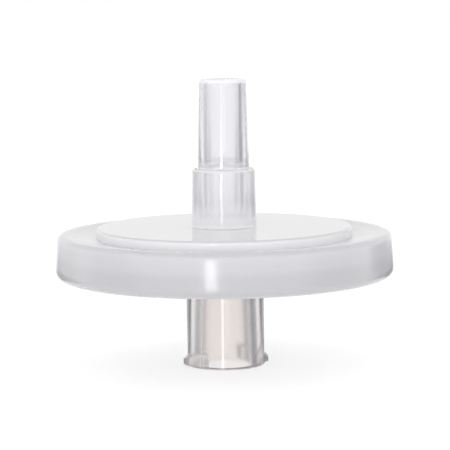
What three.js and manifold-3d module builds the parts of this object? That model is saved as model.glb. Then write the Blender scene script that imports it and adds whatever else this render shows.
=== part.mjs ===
// Syringe filter, 25 mm: two plastic plates with luer fittings, the membrane between them, and the
// band moulded around their edges. Millimetres, +Z up. The origin is the centre of the inlet mouth,
// on which the filter stands; the outlet tip points up and the inlet's lugs lie on the X axis.
import * as THREE from "three";
import { mergeVertices } from "three/addons/utils/BufferGeometryUtils.js";
import Module from "manifold-3d";

const wasm = await Module();
wasm.setup();

// Heights, each measured from the level below it.
const SOCKET_STAND = 7.7;        // inlet mouth to the underside of the band
const BAND_HEIGHT = 3.7;
const SEAM_HEIGHT = 2.0;         // underside of the band to the middle of the membrane
const INLET_STEP = 0.3;          // inlet plate's centre, proud of the band
const OUTLET_STEP = 0.5;         // outlet plate's centre, proud of the band
const HUB_HEIGHT = 4.95;
const TIP_LENGTH = 7.6;

// Luer fittings. A 6 % cone changes its radius by 3 % of its length.
const LUER_SLOPE = 0.03;
const TIP_END_RADIUS = 1.985;
const TIP_WALL = 0.585;          // at the tip's end
const BORE_DRAFT = 0.22;         // the bore's radius lost from the tip's end to the outlet channels
const SHOULDER_WIDTH = 0.477;    // the step from the tip's root out to the hub
const HUB_DRAFT = 0.08;
const MOUTH_RADIUS = 2.15;
const SOCKET_WALL = 1.19;        // at the mouth
const PORT_RADIUS = 1.2;         // the hole from the socket into the chamber
const PORT_LENGTH = 1.25;

// Lugs on the inlet mouth, cut like two short lengths of a right-hand thread.
const LUG_COUNT = 2;
const LUG_REACH = 0.34;          // how far a lug stands out of the socket
const LUG_SPAN = THREE.MathUtils.degToRad(74);
const LUG_END_SLOPE = THREE.MathUtils.degToRad(8);
const LUG_CREST_HEIGHT = 0.25;   // at the thin end
const LUG_LEAD = 5.0;            // rise of the upper flank in one whole turn
const LUG_SINK = 0.4;            // root of a lug inside the socket's wall
const LUG_BASE = 0.1;            // lower flank of a lug above the mouth
const LUG_STEPS = 10;

// Disc, from its rim inwards.
const BAND_BASE_RADIUS = 14.48;
const BAND_DRAFT = 0.27;         // radius lost from the band's base to its top
const BAND_WALL = 1.4;           // outside the plates' flanges, at the band's top
const BAND_LIP_REACH = 1.9;      // how far the band reaches in over the flanges
const BAND_LIP = 0.7;            // thickness of the band over and under the flanges
const RIM_LAND = 0.9;            // level top of the band, in from its outer edge
const LEDGE_DIP = 0.35;          // fall of the band's top from there to the outlet plate
const MOULDED_GAP = 0.01;        // between faces that touch
const CLAMP_WIDTH = 2.4;         // from the flanges' edges in to the chamber
const CHAMBER_DEPTH = 0.36;      // under the membrane, shallow so that little liquid stays in it
const CHANNEL_DEPTH = 0.35;      // over the membrane
const MEMBRANE_INSET = 0.3;      // the membrane's edge inside the flanges' edges
const MEMBRANE_THICKNESS = 0.18;

// Support rings over the membrane, and spreading ribs under it.
const RING_COUNT = 3;
const RING_WIDTH = 0.5;
const RING_BORE_SPACE = 1.72;    // bore to the middle of the innermost ring
const RING_EDGE_SPACE = 1.0;     // chamber's edge to the middle of the outermost ring
const CHANNEL_COUNT = 4;
const CHANNEL_WIDTH = 0.9;
const RIB_COUNT = 4;             // long ribs, with a short one between each two
const RIB_WIDTH = 0.5;
const RIB_TOP_SPACE = 0.1;       // ribs to the clamping face
const RIB_PORT_SPACE = 1.2;      // port to the long ribs
const SHORT_RIB_LENGTH = 4.2;
const RIB_SINK = 0.2;            // ribs and rings run into the plates by this much

// Edge rounding.
const BAND_BASE_ROUND = 0.7;
const BAND_TOP_ROUND = 0.5;
const PLATE_ROUND = 0.25;
const HUB_FOOT_ROUND = 0.1;
const HUB_TOP_ROUND = 0.25;
const TIP_FOOT_ROUND = 0.18;
const TIP_END_ROUND = 0.28;
const BORE_EDGE_ROUND = 0.1;
const SOCKET_EDGE_ROUND = 0.15;
const SOCKET_FOOT_ROUND = 0.4;

const FACETS = 60;
const ARC_STEPS = 3;
const MERGE_DISTANCE = 1e-4;     // vertices closer than this are one

// Levels above the inlet mouth.
const bandBase = SOCKET_STAND;
const bandTop = bandBase + BAND_HEIGHT;
const seam = bandBase + SEAM_HEIGHT;
const clampHalf = MEMBRANE_THICKNESS / 2 + MOULDED_GAP;
const inletFace = seam - clampHalf;
const outletFace = seam + clampHalf;
const chamberFloor = inletFace - CHAMBER_DEPTH;
const socketEnd = chamberFloor - PORT_LENGTH;
const channelRoof = outletFace + CHANNEL_DEPTH;
const inletFlange = bandBase + BAND_LIP;
const outletFlange = bandTop - BAND_LIP;
const inletUnderside = bandBase - INLET_STEP;
const outletTop = bandTop + OUTLET_STEP;
const shoulder = outletTop + HUB_HEIGHT;
const tipEnd = shoulder + TIP_LENGTH;

// Radii that follow from the sizes above.
const bandTopRadius = BAND_BASE_RADIUS - BAND_DRAFT;
const flangeRadius = bandTopRadius - BAND_WALL - MOULDED_GAP;
const plateRadius = flangeRadius - BAND_LIP_REACH;
const chamberRadius = flangeRadius - CLAMP_WIDTH;
const membraneRadius = flangeRadius - MEMBRANE_INSET;
const tipRootRadius = TIP_END_RADIUS + LUER_SLOPE * TIP_LENGTH;
const hubTopRadius = tipRootRadius + SHOULDER_WIDTH;
const hubBaseRadius = hubTopRadius + HUB_DRAFT;
const tipBoreRadius = TIP_END_RADIUS - TIP_WALL;
const plateBoreRadius = tipBoreRadius - BORE_DRAFT;
const socketRadius = MOUTH_RADIUS + SOCKET_WALL;
const socketEndRadius = MOUTH_RADIUS - LUER_SLOPE * socketEnd;

const naturalPlastic = { color: 0xe3e2e8, roughness: 0.32, metalness: 0 };
const membranePlastic = { color: 0xf4f4f2, roughness: 0.9, metalness: 0 };

// The closed outline through corners of [radius, height, rounding], with an arc at each rounded one.
function roundedOutline(corners) {
  const outline = [];
  corners.forEach(([radius, height, rounding = 0], i) => {
    const corner = new THREE.Vector2(radius, height);
    if (rounding === 0) {
      outline.push(corner);
      return;
    }
    const before = corners[(i + corners.length - 1) % corners.length];
    const after = corners[(i + 1) % corners.length];
    const toBefore = new THREE.Vector2(before[0], before[1]).sub(corner).normalize();
    const toAfter = new THREE.Vector2(after[0], after[1]).sub(corner).normalize();
    const halfAngle = Math.acos(toBefore.dot(toAfter)) / 2;
    const bisector = toBefore.clone().add(toAfter).normalize();
    const centre = corner.clone().addScaledVector(bisector, rounding / Math.sin(halfAngle));
    const trim = rounding / Math.tan(halfAngle);
    const first = corner.clone().addScaledVector(toBefore, trim).sub(centre);
    const last = corner.clone().addScaledVector(toAfter, trim).sub(centre);
    const turn = Math.atan2(first.cross(last), first.dot(last));
    for (let step = 0; step <= ARC_STEPS; step += 1) {
      const spoke = first.clone().rotateAround(new THREE.Vector2(), (turn * step) / ARC_STEPS);
      outline.push(spoke.add(centre));
    }
  });
  return outline;
}

// Revolves an outline about the Z axis, whichever way round its corners are listed.
function revolve(corners) {
  const outline = roundedOutline(corners);
  if (THREE.ShapeUtils.area(outline) < 0) {
    outline.reverse();
  }
  outline.push(outline[0].clone());
  return new THREE.LatheGeometry(outline, FACETS).rotateX(Math.PI / 2);
}

function toSolid(geometry) {
  const bare = geometry.clone();
  bare.deleteAttribute("normal");
  bare.deleteAttribute("uv");
  const merged = mergeVertices(bare, MERGE_DISTANCE);
  return new wasm.Manifold(new wasm.Mesh({
    numProp: 3,
    vertProperties: merged.attributes.position.array,
    triVerts: new Uint32Array(merged.index.array),
  }));
}

function toGeometry(solid) {
  const { vertProperties, triVerts } = solid.getMesh();
  const geometry = new THREE.BufferGeometry();
  geometry.setAttribute("position", new THREE.BufferAttribute(vertProperties, 3));
  geometry.setIndex(new THREE.BufferAttribute(triVerts, 1));
  geometry.computeVertexNormals();
  return geometry;
}

// A straight bar from one radius to another at an angle about the Z axis, standing on a level.
function radialBar({ from, to, width, base, height, angle }) {
  return new THREE.BoxGeometry(to - from, width, height)
    .translate((from + to) / 2, 0, base + height / 2)
    .rotateZ(angle);
}

// One lug: a short block bent around the socket, level underneath, whose upper flank climbs.
function lug(middle) {
  const crestRadius = socketRadius + LUG_REACH;
  const rootRadius = socketRadius - LUG_SINK;
  const geometry = new THREE.BoxGeometry(1, 1, 1, LUG_STEPS, 1, 1);
  const points = geometry.attributes.position;
  for (let i = 0; i < points.count; i += 1) {
    const atCrest = points.getY(i) > 0;
    const atTop = points.getZ(i) > 0;
    const span = LUG_SPAN - (atCrest ? 2 * LUG_END_SLOPE : 0);
    const offset = -points.getX(i) * span;
    const radius = atCrest ? crestRadius : rootRadius;
    const flank = crestRadius - radius;
    const climb = (LUG_LEAD * (offset + LUG_SPAN / 2)) / (2 * Math.PI);
    const height = LUG_BASE + (atTop ? LUG_CREST_HEIGHT + flank + climb : 0);
    points.setXYZ(i, radius * Math.cos(middle + offset), radius * Math.sin(middle + offset), height);
  }
  return geometry;
}

function outletHousing() {
  let body = toSolid(revolve([
    [tipBoreRadius, tipEnd, BORE_EDGE_ROUND],
    [TIP_END_RADIUS, tipEnd, TIP_END_ROUND],
    [tipRootRadius, shoulder, TIP_FOOT_ROUND],
    [hubTopRadius, shoulder, HUB_TOP_ROUND],
    [hubBaseRadius, outletTop, HUB_FOOT_ROUND],
    [plateRadius, outletTop, PLATE_ROUND],
    [plateRadius, outletFlange],
    [flangeRadius, outletFlange],
    [flangeRadius, outletFace],
    [chamberRadius, outletFace],
    [chamberRadius, channelRoof],
    [plateBoreRadius, channelRoof],
  ]));
  for (const ring of supportRings()) {
    body = body.add(ring);
  }
  return toGeometry(body);
}

// The rings that carry the membrane, each cut through by every radial channel.
function supportRings() {
  const innermost = plateBoreRadius + RING_BORE_SPACE;
  const outermost = chamberRadius - RING_EDGE_SPACE;
  const pitch = (outermost - innermost) / (RING_COUNT - 1);
  const ringTop = channelRoof + RIB_SINK;
  return Array.from({ length: RING_COUNT }, (_, i) => {
    const middle = innermost + i * pitch;
    const inner = middle - RING_WIDTH / 2;
    const outer = middle + RING_WIDTH / 2;
    let ring = toSolid(revolve([
      [inner, outletFace],
      [outer, outletFace],
      [outer, ringTop],
      [inner, ringTop],
    ]));
    for (let k = 0; k < CHANNEL_COUNT / 2; k += 1) {
      ring = ring.subtract(toSolid(radialBar({
        from: -flangeRadius,
        to: flangeRadius,
        width: CHANNEL_WIDTH,
        base: seam,
        height: BAND_HEIGHT,
        angle: (2 * Math.PI * k) / CHANNEL_COUNT,
      })));
    }
    return ring;
  });
}

function inletHousing() {
  let body = toSolid(revolve([
    [MOUTH_RADIUS, 0, BORE_EDGE_ROUND],
    [socketRadius, 0, SOCKET_EDGE_ROUND],
    [socketRadius, inletUnderside, SOCKET_FOOT_ROUND],
    [plateRadius, inletUnderside, PLATE_ROUND],
    [plateRadius, inletFlange],
    [flangeRadius, inletFlange],
    [flangeRadius, inletFace],
    [chamberRadius, inletFace],
    [chamberRadius, chamberFloor],
    [PORT_RADIUS, chamberFloor],
    [PORT_RADIUS, socketEnd],
    [socketEndRadius, socketEnd],
  ]));
  for (let i = 0; i < LUG_COUNT; i += 1) {
    body = body.add(toSolid(lug((2 * Math.PI * i) / LUG_COUNT)));
  }
  for (let i = 0; i < 2 * RIB_COUNT; i += 1) {
    body = body.add(toSolid(radialBar({
      from: i % 2 === 0 ? PORT_RADIUS + RIB_PORT_SPACE : chamberRadius - SHORT_RIB_LENGTH,
      to: chamberRadius + RIB_SINK,
      width: RIB_WIDTH,
      base: chamberFloor - RIB_SINK,
      height: CHAMBER_DEPTH - RIB_TOP_SPACE + RIB_SINK,
      angle: (Math.PI * i) / RIB_COUNT,
    })));
  }
  return toGeometry(body);
}

function filterMembrane() {
  return new THREE.CylinderGeometry(membraneRadius, membraneRadius, MEMBRANE_THICKNESS, FACETS)
    .rotateX(Math.PI / 2)
    .translate(0, 0, seam);
}

// A C-shaped ring: one lip over the outlet plate's flange, one under the inlet plate's.
function sealingBand() {
  const lipRadius = plateRadius + MOULDED_GAP;
  const pocketRadius = flangeRadius + MOULDED_GAP;
  const pocketTop = outletFlange + MOULDED_GAP;
  const pocketBase = inletFlange - MOULDED_GAP;
  return revolve([
    [BAND_BASE_RADIUS, bandBase, BAND_BASE_ROUND],
    [bandTopRadius, bandTop, BAND_TOP_ROUND],
    [bandTopRadius - RIM_LAND, bandTop],
    [lipRadius, bandTop - LEDGE_DIP],
    [lipRadius, pocketTop],
    [pocketRadius, pocketTop],
    [pocketRadius, pocketBase],
    [lipRadius, pocketBase],
    [lipRadius, bandBase],
  ]);
}

function piece(name, geometry, finish) {
  const mesh = new THREE.Mesh(geometry, new THREE.MeshStandardMaterial(finish));
  mesh.name = name;
  return mesh;
}

const syringeFilter = new THREE.Group();
syringeFilter.add(
  piece("inlet_housing", inletHousing(), naturalPlastic),
  piece("filter_membrane", filterMembrane(), membranePlastic),
  piece("outlet_housing", outletHousing(), naturalPlastic),
  piece("sealing_band", sealingBand(), naturalPlastic),
);

export default syringeFilter;
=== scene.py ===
import math

import bmesh
import bpy
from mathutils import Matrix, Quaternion, Vector


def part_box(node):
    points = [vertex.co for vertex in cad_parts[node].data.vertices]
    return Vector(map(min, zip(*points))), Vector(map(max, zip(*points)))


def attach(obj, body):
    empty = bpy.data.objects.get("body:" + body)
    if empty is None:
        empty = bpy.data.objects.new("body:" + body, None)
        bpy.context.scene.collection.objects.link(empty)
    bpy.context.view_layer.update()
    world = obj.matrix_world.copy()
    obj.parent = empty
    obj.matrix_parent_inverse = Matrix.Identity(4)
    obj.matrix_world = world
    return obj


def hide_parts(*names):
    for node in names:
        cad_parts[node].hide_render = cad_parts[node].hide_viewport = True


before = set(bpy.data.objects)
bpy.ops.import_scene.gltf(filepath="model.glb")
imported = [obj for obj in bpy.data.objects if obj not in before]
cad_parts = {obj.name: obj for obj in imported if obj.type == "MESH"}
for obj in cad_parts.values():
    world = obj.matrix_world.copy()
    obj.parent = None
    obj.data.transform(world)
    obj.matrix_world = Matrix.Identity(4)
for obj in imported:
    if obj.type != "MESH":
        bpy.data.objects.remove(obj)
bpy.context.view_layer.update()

# A syringe filter of natural polypropylene: the outlet plate with its slip tip, the inlet plate
# with its luer socket, the membrane between them and the band moulded round their edges.
# The sizes in each piece's dictionary are in millimetres, and the angles are in degrees.

mm = 0.001
fullTurn = 2 * math.pi
white = Vector((1, 1, 1))
scene = bpy.context.scene
print("frame loaded,", len(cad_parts), "nodes")

meshing = {
    "roundSteps": 448,  # faces round a turned piece
    "ringSteps": 96,    # faces round a hidden support ring
    "arcSteps": 6,      # faces across a rounded edge
    "holdShare": 0.3,   # how far past a rounding its holding points stand, as a share of it
    "sharpFrom": 32,    # edges that turn by more degrees than this stay sharp
    "weld": 0.0001 * mm,  # points closer than this are joined
}


def heights(node):
    low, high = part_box(node)
    return low.z, high.z


def reach(node):
    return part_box(node)[1].x


def inMetres(sizes):
    return {name: size * mm for name, size in sizes.items()}


def addObject(name, data):
    item = bpy.data.objects.new(name, data)
    scene.collection.objects.link(item)
    return item


def addMeshObject(name, bm):
    mesh = bpy.data.meshes.new(name)
    bm.to_mesh(mesh)
    bm.free()
    return addObject(name, mesh)


# The closed outline through corners of (radius, height, rounding), with an arc at each rounded one.
# A holding point on either side of the arc keeps the walls' shading straight.
def roundedOutline(corners):
    outline = []
    for i, corner in enumerate(corners):
        point = Vector(corner[:2])
        rounding = corner[2] if len(corner) > 2 else 0
        if not rounding:
            outline.append(point)
            continue
        toBefore = (Vector(corners[i - 1][:2]) - point).normalized()
        toAfter = (Vector(corners[(i + 1) % len(corners)][:2]) - point).normalized()
        half = toBefore.angle(toAfter) / 2
        centre = point + (toBefore + toAfter).normalized() * rounding / math.sin(half)
        trim = rounding / math.tan(half)
        hold = trim * (1 + meshing["holdShare"])
        first = point + toBefore * trim - centre
        last = point + toAfter * trim - centre
        turn = math.atan2(first.x * last.y - first.y * last.x, first.dot(last))
        outline.append(point + toBefore * hold)
        for step in range(meshing["arcSteps"] + 1):
            angle = turn * step / meshing["arcSteps"]
            spoke = Vector((first.x * math.cos(angle) - first.y * math.sin(angle),
                            first.x * math.sin(angle) + first.y * math.cos(angle)))
            outline.append(centre + spoke)
        outline.append(point + toAfter * hold)
    return outline


# A closed skin over sections that go all the way round.
def skin(name, sections):
    bm = bmesh.new()
    rows = [[bm.verts.new(point) for point in section] for section in sections]
    count = len(rows[0])
    for i, row in enumerate(rows):
        after = rows[(i + 1) % len(rows)]
        for j in range(count):
            k = (j + 1) % count
            bm.faces.new((row[j], after[j], after[k], row[k]))
    bmesh.ops.remove_doubles(bm, verts=bm.verts, dist=meshing["weld"])
    bmesh.ops.recalc_face_normals(bm, faces=bm.faces)
    return addMeshObject(name, bm)


def turned(outline, angle):
    return [Vector((p.x * math.cos(angle), p.x * math.sin(angle), p.y)) for p in outline]


def revolve(name, corners, steps=meshing["roundSteps"]):
    outline = roundedOutline(corners)
    return skin(name, [turned(outline, fullTurn / steps * i) for i in range(steps)])


# A straight bar along a radius, from start to end.
def radialBar(name, start, end, width, low, high, angle):
    bm = bmesh.new()
    bmesh.ops.create_cube(bm, size=1)
    for vert in bm.verts:
        along = start if vert.co.x < 0 else end
        across = vert.co.y * width
        vert.co = (along * math.cos(angle) - across * math.sin(angle),
                   along * math.sin(angle) + across * math.cos(angle),
                   low if vert.co.z < 0 else high)
    return addMeshObject(name, bm)


def combine(piece, others, operation):
    for other in others:
        modifier = piece.modifiers.new(operation, "BOOLEAN")
        modifier.operation = operation
        modifier.solver = "EXACT"
        modifier.object = other
    bpy.context.view_layer.update()
    evaluated = piece.evaluated_get(bpy.context.evaluated_depsgraph_get())
    mesh = bpy.data.meshes.new_from_object(evaluated)
    piece.modifiers.clear()
    piece.data = mesh
    for other in others:
        bpy.data.objects.remove(other)
    return piece


def finishPiece(piece, node, material):
    piece.data.materials.clear()
    piece.data.materials.append(material)
    piece.data.polygons.foreach_set("use_smooth", [True] * len(piece.data.polygons))
    piece.data.set_sharp_from_angle(angle=math.radians(meshing["sharpFrom"]))
    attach(piece, "root")
    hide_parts(node)
    print(piece.name, len(piece.data.polygons), "faces")


def newMaterial(name):
    material = bpy.data.materials.new(name)
    material.use_nodes = True
    material.node_tree.nodes.clear()
    return material


def addNode(tree, kind, inputs=None, **settings):
    node = tree.nodes.new(kind)
    for name, value in settings.items():
        setattr(node, name, value)
    for key, value in (inputs or {}).items():
        if isinstance(value, bpy.types.NodeSocket):
            tree.links.new(value, node.inputs[key])
        else:
            node.inputs[key].default_value = value
    return node


# The value at a height or a radius, eased between stops of {millimetres: value}.
def levelRamp(tree, level, stops):
    low, high = min(stops), max(stops)
    share = addNode(tree, "ShaderNodeMapRange", {"Value": level, "From Min": low * mm,
                                                 "From Max": high * mm})
    ramp = addNode(tree, "ShaderNodeValToRGB", {"Fac": share.outputs[0]})
    ramp.color_ramp.interpolation = "EASE"
    marks = ramp.color_ramp.elements
    for height in sorted(stops)[1:-1]:
        marks.new((height - low) / (high - low))
    for mark, height in zip(marks, sorted(stops)):
        mark.color = (stops[height], stops[height], stops[height], 1)
    return ramp.outputs["Color"]


# Natural plastic. Its look says how clear it is at each height (transmission) and how clear it is at
# least at each radius (walls), and ends takes some of that away. Its roughness goes by height, and it
# has the bore's own roughness at the radii where bore is 1.
def naturalPlastic(name, look):
    material = newMaterial(name)
    tree = material.node_tree
    place = addNode(tree, "ShaderNodeTexCoord").outputs["Object"]
    level = addNode(tree, "ShaderNodeSeparateXYZ", {0: place}).outputs["Z"]
    flat = addNode(tree, "ShaderNodeVectorMath", {0: place, 1: (1, 1, 0)}, operation="MULTIPLY")
    radius = addNode(tree, "ShaderNodeVectorMath", {0: flat.outputs[0]}, operation="LENGTH").outputs["Value"]

    body = levelRamp(tree, level, look["transmission"])
    walls = levelRamp(tree, radius, look["walls"])
    clear = addNode(tree, "ShaderNodeMath", {0: body, 1: walls}, operation="MAXIMUM").outputs[0]
    ends = levelRamp(tree, level, look["ends"])
    clear = addNode(tree, "ShaderNodeMath", {0: clear, 1: ends}, operation="MULTIPLY").outputs[0]

    bore = levelRamp(tree, radius, look["bore"])
    outside = levelRamp(tree, level, look["roughness"])
    rough = addNode(tree, "ShaderNodeMix", {0: bore, 2: outside, 3: look["boreRoughness"]}).outputs[0]

    flow = addNode(tree, "ShaderNodeMapping", {"Vector": place, "Scale": look["flowScale"]})
    streaks = addNode(tree, "ShaderNodeTexNoise", {"Vector": flow.outputs[0], "Scale": 1.0, "Detail": 2.0})
    tint = addNode(tree, "ShaderNodeMix", {0: streaks.outputs["Fac"], 6: look["coolTint"],
                                           7: look["warmTint"]}, data_type="RGBA")
    # The grey of the base colour by height, which carries painted shade: the outlet plate's top face is
    # painted darker, and so are the band's lower wall and its ledge.
    toneAndPaintedShade = levelRamp(tree, level, look["toneAndPaintedShade"])
    colour = addNode(tree, "ShaderNodeVectorMath", {0: tint.outputs[2], 1: toneAndPaintedShade}, operation="MULTIPLY")

    grain = addNode(tree, "ShaderNodeTexNoise", {"Vector": place, "Scale": look["grainScale"],
                                                 "Detail": 3.0}).outputs["Fac"]
    bump = addNode(tree, "ShaderNodeBump", {"Height": grain, "Strength": look["grainStrength"],
                                            "Distance": look["grainDepth"]})
    plastic = addNode(tree, "ShaderNodeBsdfPrincipled", {
        "Base Color": colour.outputs[0],
        "Roughness": rough,
        "IOR": look["ior"],
        "Transmission Weight": clear,
        "Subsurface Weight": look["scatter"],
        "Subsurface Radius": (1.0, 1.0, 1.0),
        "Subsurface Scale": look["scatterDepth"],
        "Coat Weight": look["skin"],
        "Coat Roughness": look["skinRoughness"],
        "Normal": bump.outputs[0],
    })
    addNode(tree, "ShaderNodeOutputMaterial", {"Surface": plastic.outputs[0]})
    return material


outlet = {
    "rings": 3, "channels": 4,
    "sizes": {
        "tipEndRadius": 1.985, "tipRootRadius": 2.213, "shoulder": 16.85,
        "hubTopRadius": 2.69, "hubBaseRadius": 2.77,
        "plateTop": 11.9, "plateRadius": 10.9, "flangeTop": 10.7,
        "boreTop": 1.4, "boreBase": 1.18, "channelRoof": 10.15, "chamberRadius": 10.4,
        "boreEdge": 0.1, "tipEdge": 0.28, "tipFillet": 0.18,
        "hubEdge": 0.25, "hubFillet": 0.1, "plateEdge": 0.25,
        "ringWidth": 0.5, "ringSink": 0.2, "boreSpace": 1.72, "edgeSpace": 1.0,
        "channelWidth": 0.9, "channelOverrun": 1.0,
    },
    "look": {
        "transmission": {11.9: 0.1, 12.4: 0.25, 13.2: 0.42, 14.4: 0.55, 16.5: 0.57, 16.85: 0.42, 17.2: 0.55,
                         17.8: 0.84, 24.45: 0.84},
        "walls": {0.0: 1.0, 1.5: 1.0, 1.7: 0.0, 20.0: 0.0},
        "ends": {7.0: 1.0, 24.0: 1.0, 24.2: 0.35, 24.45: 0.35},
        "roughness": {11.9: 0.06, 12.3: 0.08, 16.7: 0.08, 17.2: 0.09, 24.4: 0.09},
        "bore": {0.0: 1.0, 1.5: 1.0, 1.7: 0.0, 20.0: 0.0}, "boreRoughness": 0.2,
        # Painted shade: the plate's top face is darker than the rest of the plastic.
        "toneAndPaintedShade": {11.65: 0.95, 11.88: 0.59, 11.905: 0.59, 12.0: 1.0, 24.4: 1.0},
        "coolTint": (0.955, 0.965, 0.995, 1), "warmTint": (0.985, 0.965, 0.99, 1),
        "flowScale": (900, 900, 60),
        "ior": 1.49, "scatter": 0.0, "scatterDepth": 0.5 * mm,
        "skin": 0.6, "skinRoughness": 0.04,
        "grainScale": 1500, "grainStrength": 0.02, "grainDepth": 0.02 * mm,
    },
}


# The rings that carry the membrane, hanging from the channel roof.
def makeSupportRings(size, low):
    first = size["boreBase"] + size["boreSpace"]
    last = size["chamberRadius"] - size["edgeSpace"]
    half = size["ringWidth"] / 2
    high = size["channelRoof"] + size["ringSink"]
    rings = []
    for i in range(outlet["rings"]):
        middle = first + (last - first) * i / (outlet["rings"] - 1)
        corners = [(middle - half, low), (middle + half, low), (middle + half, high), (middle - half, high)]
        rings.append(revolve("supportRing", corners, meshing["ringSteps"]))
    return combine(rings[0], rings[1:], "UNION")


# The cuts through the rings. Each one goes right across, so it opens two channels.
def makeChannels(size, low, plateReach):
    return [radialBar("channel", -plateReach, plateReach, size["channelWidth"], low - size["channelOverrun"],
                      size["plateTop"], fullTurn * k / outlet["channels"])
            for k in range(outlet["channels"] // 2)]


def makeOutlet():
    faceLow, tipEnd = heights("outlet_housing")
    flangeRadius = reach("outlet_housing")
    size = inMetres(outlet["sizes"])
    piece = revolve("outletHousing", [
        (size["boreTop"], tipEnd, size["boreEdge"]),
        (size["tipEndRadius"], tipEnd, size["tipEdge"]),
        (size["tipRootRadius"], size["shoulder"], size["tipFillet"]),
        (size["hubTopRadius"], size["shoulder"], size["hubEdge"]),
        (size["hubBaseRadius"], size["plateTop"], size["hubFillet"]),
        (size["plateRadius"], size["plateTop"], size["plateEdge"]),
        (size["plateRadius"], size["flangeTop"]),
        (flangeRadius, size["flangeTop"]),
        (flangeRadius, faceLow),
        (size["chamberRadius"], faceLow),
        (size["chamberRadius"], size["channelRoof"]),
        (size["boreBase"], size["channelRoof"]),
    ])
    rings = makeSupportRings(size, faceLow)
    combine(rings, makeChannels(size, faceLow, flangeRadius), "DIFFERENCE")
    combine(piece, [rings], "UNION")
    material = naturalPlastic("outletPolypropylene", outlet["look"])
    finishPiece(piece, "outlet_housing", material)


inlet = {
    "ribs": 8,
    "lugSpan": 74, "lugEnd": 12, "lugEndSteps": 5, "lugEdgeShare": 0.3,
    "sizes": {
        "mouthRadius": 2.15, "socketRadius": 3.34, "socketEnd": 7.99, "socketEndRadius": 1.91,
        "portRadius": 1.2, "chamberRadius": 10.4, "chamberFloor": 9.24,
        "underside": 7.4, "flangeBase": 8.4, "plateRadius": 10.9,
        "boreEdge": 0.1, "mouthEdge": 0.03, "socketFillet": 0.4, "plateEdge": 0.25,
        "lugReach": 0.34, "lugBase": 0.1, "lugCrest": 0.25, "lugLead": 5.0,
        "lugEdge": 0.05, "lugLeast": 0.004,
        "longRib": 2.4, "shortRib": 6.2, "ribWidth": 0.5, "ribSink": 0.2, "ribSpace": 0.1,
    },
    "look": {
        **outlet["look"],
        "transmission": {0.0: 0.85, 2.0: 0.85, 7.4: 0.5, 8.2: 0.15},
        "walls": {0.0: 1.0, 2.5: 1.0, 2.6: 0.93, 3.35: 0.93, 3.45: 0.0, 20.0: 0.0},
        "ends": {0.0: 1.0, 10.0: 1.0},
        "roughness": {0.0: 0.15, 2.0: 0.13, 6.6: 0.13, 7.4: 0.2},
        "bore": {0.0: 1.0, 2.3: 1.0, 2.5: 0.0, 3.38: 0.0, 3.44: 1.0, 20.0: 1.0}, "boreRoughness": 0.24,
        "toneAndPaintedShade": {0.0: 1.0, 8.0: 1.0},
        "coolTint": (0.915, 0.885, 0.875, 1), "warmTint": (0.935, 0.89, 0.875, 1),
    },
}


# Even steps round the inlet, with closer ones at the ends of its lugs.
def inletAngles():
    half = math.radians(inlet["lugSpan"]) / 2
    end = math.radians(inlet["lugEnd"])
    steps = inlet["lugEndSteps"]
    angles = [fullTurn * i / meshing["roundSteps"] for i in range(meshing["roundSteps"])]
    for middle in (0, math.pi):
        for side in (-1, 1):
            angles += [(middle + side * (half - end * k / steps)) % fullTurn for k in range(-1, steps + 2)]
    return sorted(set(round(angle, 6) for angle in angles))


# The socket's outside wall at an angle, from the lugs' base up: over a lug, or straight where there
# is none. Both have the same number of points.
def lugOutline(size, bottom, angle):
    half = math.radians(inlet["lugSpan"]) / 2
    offset = (angle + math.pi / 2) % math.pi - math.pi / 2
    share = min(1, max(0, (half - abs(offset)) / math.radians(inlet["lugEnd"])))
    out = size["lugReach"] * share * share * (3 - 2 * share)
    climb = size["lugLead"] * (min(half, max(-half, offset)) + half) / fullTurn
    base = bottom + size["lugBase"]
    crest = base + size["lugCrest"] + climb
    radius = size["socketRadius"]
    if out < size["lugLeast"]:
        count = 2 * (meshing["arcSteps"] + 3) + 1
        return [Vector((radius, base + (crest - base) * (k + 1) / count)) for k in range(count)]
    edge = min(size["lugEdge"], out * inlet["lugEdgeShare"])
    return roundedOutline([(radius, base), (radius + out, base, edge),
                           (radius + out, crest, edge), (radius, crest + out)])[1:]


# Ribs on the chamber's floor, a long one and a short one in turn.
def makeRibs(size, faceHigh):
    ribs = []
    for i in range(inlet["ribs"]):
        start = size["longRib"] if i % 2 == 0 else size["shortRib"]
        ribs.append(radialBar("rib", start, size["chamberRadius"] + size["ribSink"], size["ribWidth"],
                              size["chamberFloor"] - size["ribSink"], faceHigh - size["ribSpace"],
                              fullTurn * i / inlet["ribs"]))
    return ribs


def makeInlet():
    bottom, faceHigh = heights("inlet_housing")
    flangeRadius = reach("inlet_housing")
    size = inMetres(inlet["sizes"])
    mouth = roundedOutline([
        (size["socketEndRadius"], size["socketEnd"]),
        (size["mouthRadius"], bottom, size["boreEdge"]),
        (size["socketRadius"], bottom, size["mouthEdge"]),
        (size["socketRadius"], bottom + size["lugBase"]),
    ])
    rest = roundedOutline([
        (size["socketRadius"], bottom + size["lugBase"]),
        (size["socketRadius"], size["underside"], size["socketFillet"]),
        (size["plateRadius"], size["underside"], size["plateEdge"]),
        (size["plateRadius"], size["flangeBase"]),
        (flangeRadius, size["flangeBase"]),
        (flangeRadius, faceHigh),
        (size["chamberRadius"], faceHigh),
        (size["chamberRadius"], size["chamberFloor"]),
        (size["portRadius"], size["chamberFloor"]),
        (size["portRadius"], size["socketEnd"]),
    ])[1:]
    piece = skin("inletHousing", [turned(mouth + lugOutline(size, bottom, angle) + rest, angle)
                                  for angle in inletAngles()])
    combine(piece, makeRibs(size, faceHigh), "UNION")
    material = naturalPlastic("inletPolypropylene", inlet["look"])
    finishPiece(piece, "inlet_housing", material)


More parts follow.
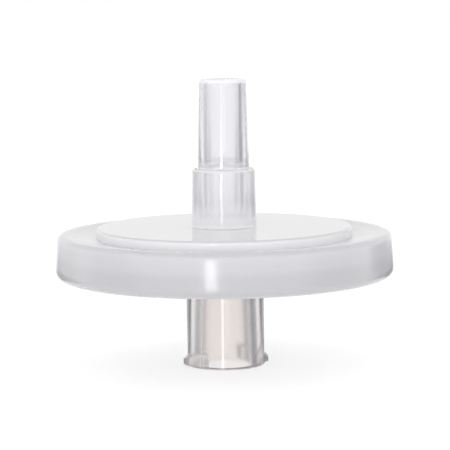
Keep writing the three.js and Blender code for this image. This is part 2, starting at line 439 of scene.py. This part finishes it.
band = {
    "sizes": {
        "baseRadius": 14.48, "topRadius": 14.21, "landRadius": 13.31, "lipRadius": 10.91, "ledge": 11.05,
        "pocketRadius": 12.81, "pocketTop": 10.71, "pocketBase": 8.39,
        "baseEdge": 0.7, "topEdge": 0.5, "ledgeEdge": 1.5,
    },
    "look": {
        **outlet["look"],
        "transmission": {7.0: 0.15, 12.0: 0.15},
        "roughness": {7.0: 0.14, 12.0: 0.14},
        # The band's grey, with painted shade: darker on the lower wall and on the ledge on top, and lighter
        # again at the very bottom.
        "toneAndPaintedShade": {7.75: 0.78, 8.1: 0.69, 9.2: 0.7, 10.1: 0.77, 10.9: 0.79, 11.2: 0.68, 11.4: 0.63},
        "coolTint": (0.885, 0.89, 0.925, 1), "warmTint": (0.905, 0.89, 0.925, 1),
        "scatter": 1.0, "skinRoughness": 0.28,
    },
}


def makeBand():
    base, top = heights("sealing_band")
    size = inMetres(band["sizes"])
    piece = revolve("sealingBand", [
        (size["baseRadius"], base, size["baseEdge"]),
        (size["topRadius"], top, size["topEdge"]),
        (size["landRadius"], top, size["ledgeEdge"]),
        (size["lipRadius"], size["ledge"]),
        (size["lipRadius"], size["pocketTop"]),
        (size["pocketRadius"], size["pocketTop"]),
        (size["pocketRadius"], size["pocketBase"]),
        (size["lipRadius"], size["pocketBase"]),
        (size["lipRadius"], base),
    ])
    material = naturalPlastic("bandPolypropylene", band["look"])
    finishPiece(piece, "sealing_band", material)


membrane = {
    "sizes": {"edge": 0.03, "poreDepth": 0.01},
    "look": {"poreScale": 9000.0, "poreDetail": 4.0, "poreStrength": 0.3, "darkest": 0.86, "lightest": 0.96,
             "roughness": 0.9},
}


# A matt white sheet with fine pores.
def membraneSheet(look, poreDepth):
    material = newMaterial("membraneSheet")
    tree = material.node_tree
    place = addNode(tree, "ShaderNodeTexCoord").outputs["Object"]
    pores = addNode(tree, "ShaderNodeTexNoise", {"Vector": place, "Scale": look["poreScale"],
                                                 "Detail": look["poreDetail"]}).outputs["Fac"]
    grey = addNode(tree, "ShaderNodeMapRange", {"Value": pores, "To Min": look["darkest"],
                                                "To Max": look["lightest"]}).outputs[0]
    colour = addNode(tree, "ShaderNodeCombineColor", {0: grey, 1: grey, 2: grey})
    bump = addNode(tree, "ShaderNodeBump", {"Height": pores, "Strength": look["poreStrength"],
                                            "Distance": poreDepth})
    sheet = addNode(tree, "ShaderNodeBsdfPrincipled", {"Base Color": colour.outputs[0],
                                                       "Roughness": look["roughness"],
                                                       "Normal": bump.outputs[0]})
    addNode(tree, "ShaderNodeOutputMaterial", {"Surface": sheet.outputs[0]})
    return material


def makeMembrane():
    low, high = heights("filter_membrane")
    radius = reach("filter_membrane")
    size = inMetres(membrane["sizes"])
    piece = revolve("filterMembrane", [(0, high), (radius, high, size["edge"]),
                                       (radius, low, size["edge"]), (0, low)])
    material = membraneSheet(membrane["look"], size["poreDepth"])
    finishPiece(piece, "filter_membrane", material)


makeOutlet()
makeInlet()
makeBand()
makeMembrane()

view = {
    "azimuth": -120.0, "elevation": 6.74, "roll": 0.72, "distance": 160.9 * mm, "target": 11.51 * mm,
    "lens": 150.6, "sensor": 36, "shift": (0.0016, 0.0122), "nearest": 0.001, "farthest": 100,
}


# A place round the filter, at an angle from where the view stands.
def around(angle, distance, height=0.0):
    turn = math.radians(view["azimuth"] + angle)
    return Vector((distance * math.cos(turn), distance * math.sin(turn), height))


def makeCamera():
    data = bpy.data.cameras.new("camera")
    data.lens = view["lens"]
    data.sensor_width = view["sensor"]
    data.shift_x, data.shift_y = view["shift"]
    data.clip_start = view["nearest"]
    data.clip_end = view["farthest"]
    camera = addObject("camera", data)
    elevation = math.radians(view["elevation"])
    target = Vector((0, 0, view["target"]))
    camera.location = target + around(0, math.cos(elevation) * view["distance"],
                                      math.sin(elevation) * view["distance"])
    facing = (target - camera.location).to_track_quat("-Z", "Y")
    camera.rotation_mode = "QUATERNION"
    camera.rotation_quaternion = facing @ Quaternion((0, 0, 1), math.radians(-view["roll"]))
    scene.camera = camera
    print("camera ready")


# The strip's glow is {height in millimetres: strength}, and a card's greys are {degrees from
# straight behind: grey}. The filter's clear walls show those greys as dark stripes. The darker a
# grey is, the more it takes of the cards' shade.
studio = {
    "worldLight": 1.1,
    "strip": {"turn": -8.8, "distance": 300 * mm, "width": 34 * mm,
              "glow": {-170: 4.6, -30: 4.6, -16: 4.0, 1: 4.3, 4: 20.0, 8: 20.0, 13: 9.5, 17: 1.7, 80: 1.7}},
    "fill": {"turn": -8.8, "distance": 300 * mm, "width": 240 * mm, "low": -120 * mm, "high": 80 * mm,
             "glow": 2.7},
    "cards": {"distance": 250 * mm, "from": 17, "to": 125, "low": -85 * mm, "high": 40 * mm, "edge": 15 * mm,
              "split": -16 * mm, "blend": 4 * mm, "shade": Vector((0.0, 0.015, 0.06))},
    "leftCard": {
        "upper": {24: 1.0, 34: 0.9, 44: 0.82, 60: 0.75, 72: 1.2, 80: 0.9,
                  92: 0.5, 118: 0.5, 125: 1.0},
        "lower": {22: 1.0, 28: 0.22, 54: 0.13, 60: 0.3, 68: 0.9, 80: 1.0, 125: 1.0},
    },
    "rightCard": {
        "upper": {24: 1.0, 34: 0.7, 44: 0.4, 52: 0.2, 64: 0.25, 72: 1.2, 80: 0.9,
                  92: 0.5, 118: 0.5, 125: 1.0},
        "lower": {17: 1.0, 23: 0.2, 44: 0.08, 54: 0.06, 60: 0.25, 68: 0.9, 80: 1.0, 125: 1.0},
    },
    # Painted shadow under the mouth, which shows through the socket.
    "mouthShadowSpot": {"radius": 2.2 * mm, "hole": 0.022 * mm, "height": -0.01 * mm, "steps": 48, "glow": 0.93},
    "floor": {"radius": 3.0, "steps": 96, "height": -0.02 * mm, "colour": 0.88, "seen": 0.35, "lift": 0.72},
}


# The value at a place among stops of {place: value}.
def between(stops, place):
    places = sorted(stops)
    for low, high in zip(places, places[1:]):
        if place <= high:
            share = max(0, (place - low) / (high - low))
            return stops[low] + (stops[high] - stops[low]) * share
    return stops[places[-1]]


# A sheet that glows, through rows of (place, colour).
def makeSheet(name, rows):
    bm = bmesh.new()
    shade = bm.verts.layers.float_color.new("shade")
    grid = []
    for row in rows:
        grid.append([bm.verts.new(place) for place, colour in row])
        for vert, (place, colour) in zip(grid[-1], row):
            vert[shade] = (*colour, 1)
    for first, second in zip(grid, grid[1:]):
        for k in range(len(first) - 1):
            bm.faces.new((first[k], second[k], second[k + 1], first[k + 1]))
    sheet = addMeshObject(name, bm)
    material = newMaterial(name)
    tree = material.node_tree
    painted = addNode(tree, "ShaderNodeAttribute", attribute_name="shade")
    glow = addNode(tree, "ShaderNodeEmission", {"Color": painted.outputs["Color"]})
    addNode(tree, "ShaderNodeOutputMaterial", {"Surface": glow.outputs[0]})
    sheet.data.materials.append(material)
    sheet.visible_camera = False
    sheet.visible_shadow = False
    return sheet


# A narrow upright strip that gives each level of the filter its own highlight.
def makeStrip(turn, distance, width, glow):
    half = math.degrees(width / 2 / distance)
    makeSheet("strip", [[(around(turn + side * half, distance, height * mm), white * glow[height])
                         for height in sorted(glow)] for side in (-1, 1)])


# A curved card beside the view behind the filter, from white at its edges through its greys.
# Above the split it has its upper greys, which the tip shows, and below it the lower ones, which
# the socket shows.
def makeCard(name, side):
    card = studio["cards"]
    rows = []
    for angle in range(card["from"], card["to"] + 1):
        greys = [between(studio[name][part], angle) for part in ("upper", "lower")]
        upper, lower = (white * grey + card["shade"] * max(0, 1 - grey) for grey in greys)
        levels = [
            (card["low"], white),
            (card["low"] + card["edge"], lower),
            (card["split"] - card["blend"], lower),
            (card["split"] + card["blend"], upper),
            (card["high"] - card["edge"], upper),
            (card["high"], white),
        ]
        rows.append([(around(180 + side * angle, card["distance"], height), colour)
                     for height, colour in levels])
    makeSheet(name, rows).visible_diffuse = False


# A grey glowing disc under the mouth, just short of white, which the socket's lower edge shows: painted
# shadow that stands in for the shaded floor there.
def makeMouthShadowSpot():
    spot = studio["mouthShadowSpot"]
    grey = white * spot["glow"]
    turns = [fullTurn * k / spot["steps"] for k in range(spot["steps"] + 1)]
    rows = [[(Vector((radius * math.cos(turn), radius * math.sin(turn), spot["height"])), grey)
             for turn in turns] for radius in (spot["hole"], spot["radius"])]
    makeSheet("mouthShadowSpot", rows).visible_diffuse = False


# A soft lamp in front, which shows neither on the plastic nor through it.
def makeFillLamp(turn, distance, width, low, high, glow):
    data = bpy.data.lights.new("fillLamp", "AREA")
    data.shape = "RECTANGLE"
    data.size = width
    data.size_y = high - low
    data.energy = glow * math.pi * width * (high - low)  # the power of a face that glows this strongly
    lamp = addObject("fillLamp", data)
    lamp.location = around(turn, distance, (low + high) / 2)
    lamp.rotation_euler = around(turn + 180, 1).to_track_quat("-Z", "Y").to_euler()
    lamp.visible_camera = False
    lamp.visible_glossy = False
    lamp.visible_transmission = False


# White where it shows, and a plain level of light on the filter.
def makeWorld():
    world = bpy.data.worlds.new("studioWorld")
    scene.world = world
    world.use_nodes = True
    tree = world.node_tree
    tree.nodes.clear()
    path = addNode(tree, "ShaderNodeLightPath")
    seen = path.outputs["Is Camera Ray"]
    for ray in ("Is Glossy Ray", "Is Transmission Ray"):
        either = addNode(tree, "ShaderNodeMath", {0: seen, 1: path.outputs[ray]}, operation="MAXIMUM")
        seen = either.outputs[0]
    strength = addNode(tree, "ShaderNodeMapRange", {"Value": seen, "To Min": studio["worldLight"],
                                                    "To Max": 1.0})
    backdrop = addNode(tree, "ShaderNodeBackground", {"Color": (*white, 1), "Strength": strength.outputs[0]})
    addNode(tree, "ShaderNodeOutputWorld", {"Surface": backdrop.outputs[0]})


# A pale floor that keeps the filter's shadow. Where it shows, it is lifted to white.
def makeFloor():
    ground = studio["floor"]
    bm = bmesh.new()
    bmesh.ops.create_circle(bm, cap_ends=True, segments=ground["steps"], radius=ground["radius"])
    floor = addMeshObject("floor", bm)
    floor.location.z = ground["height"]
    floor.visible_glossy = False
    floor.visible_transmission = False
    material = newMaterial("paleFloor")
    tree = material.node_tree
    seen = addNode(tree, "ShaderNodeLightPath").outputs["Is Camera Ray"]
    shown = addNode(tree, "ShaderNodeMapRange", {"Value": seen, "To Min": ground["colour"],
                                                 "To Max": ground["seen"]})
    pale = addNode(tree, "ShaderNodeBsdfDiffuse", {"Color": shown.outputs[0]})
    lift = addNode(tree, "ShaderNodeMath", {0: seen, 1: ground["lift"]}, operation="MULTIPLY")
    glow = addNode(tree, "ShaderNodeEmission", {"Strength": lift.outputs[0]})
    both = addNode(tree, "ShaderNodeAddShader", {0: pale.outputs[0], 1: glow.outputs[0]})
    addNode(tree, "ShaderNodeOutputMaterial", {"Surface": both.outputs[0]})
    floor.data.materials.append(material)


def makeStudio():
    makeWorld()
    makeStrip(**studio["strip"])
    makeFillLamp(**studio["fill"])
    makeCard("leftCard", 1)
    makeCard("rightCard", -1)
    makeMouthShadowSpot()
    makeFloor()
    scene.view_settings.view_transform = "Standard"
    print("studio ready")


makeStudio()
makeCamera()
